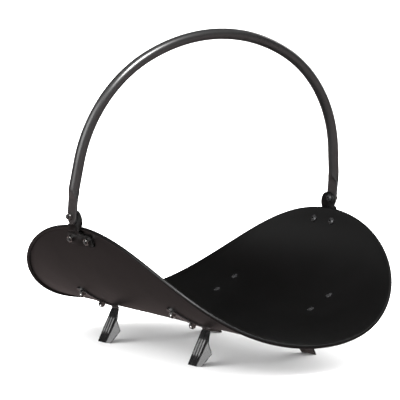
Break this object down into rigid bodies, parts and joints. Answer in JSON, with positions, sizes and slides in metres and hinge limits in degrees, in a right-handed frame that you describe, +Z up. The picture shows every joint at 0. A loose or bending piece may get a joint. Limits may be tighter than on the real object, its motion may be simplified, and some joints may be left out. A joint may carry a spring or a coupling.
{
  "type": "firewood log rack",
  "caption": "Oval sheet-steel trough bent up at both sides, on bolted pressed legs, with a folding tubular carry handle.",
  "frame": {"origin": "middle of the rack's footprint at floor level", "axes": "X across the raised wings and along the handle's pivot axis, Y along the trough, Z up"},
  "size_m": [0.4094, 0.4796, 0.4],
  "materials": {
    "tray": "satin black powder coat",
    "handle": "satin black powder coat",
    "bracket": "satin black powder coat",
    "leg": "satin black powder coat",
    "bolt": "black-finished steel",
    "nut": "bright zinc plate"
  },
  "bodies": {
    "root": {"log_tray": "tray", "rolled_rim": "tray", "handle_bracket_left": "bracket", "handle_bracket_right": "bracket", "bracket_bolts_left": "bolt", "bracket_bolts_right": "bolt", "bracket_nuts_left": "nut", "bracket_nuts_right": "nut", "pivot_bolt_left": "bolt", "pivot_bolt_right": "bolt", "pivot_nut_left": "nut", "pivot_nut_right": "nut", "leg_front_left": "leg", "leg_bolts_front_left": "bolt", "leg_nuts_front_left": "nut", "leg_back_left": "leg", "leg_bolts_back_left": "bolt", "leg_nuts_back_left": "nut", "leg_front_right": "leg", "leg_bolts_front_right": "bolt", "leg_nuts_front_right": "nut", "leg_back_right": "leg", "leg_bolts_back_right": "bolt", "leg_nuts_back_right": "nut"},
    "handle": {"carry_handle": "handle"}
  },
  "joints": [
    {"name": "handle_swing", "type": "hinge", "parent": "root", "child": "handle", "pos_m": [0, 0, 0.1774], "axis": [1, 0, 0], "range_deg": [-103, 90]}
  ]
}
